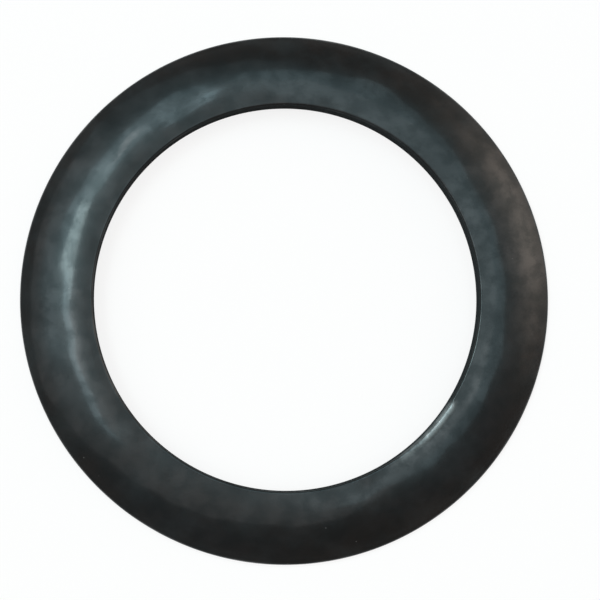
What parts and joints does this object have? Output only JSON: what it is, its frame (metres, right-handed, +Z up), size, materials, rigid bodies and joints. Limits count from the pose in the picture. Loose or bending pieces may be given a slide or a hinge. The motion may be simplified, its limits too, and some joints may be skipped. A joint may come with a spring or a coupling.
{
  "type": "flange gasket",
  "caption": "Round moulded rubber gasket ring with a plain bore, a flat base, a flat sealing land and a crowned outer face.",
  "frame": {"origin": "centre of the flat base, on the bore's axis", "axes": "+Z up the bore, from the flat base towards the sealing land"},
  "size_m": [0.09, 0.09, 0.005],
  "materials": {
    "rubber": "satin black moulded rubber, faintly mottled, with a soft skin sheen"
  },
  "bodies": {
    "root": {"gasket_ring": "rubber"}
  },
  "joints": []
}
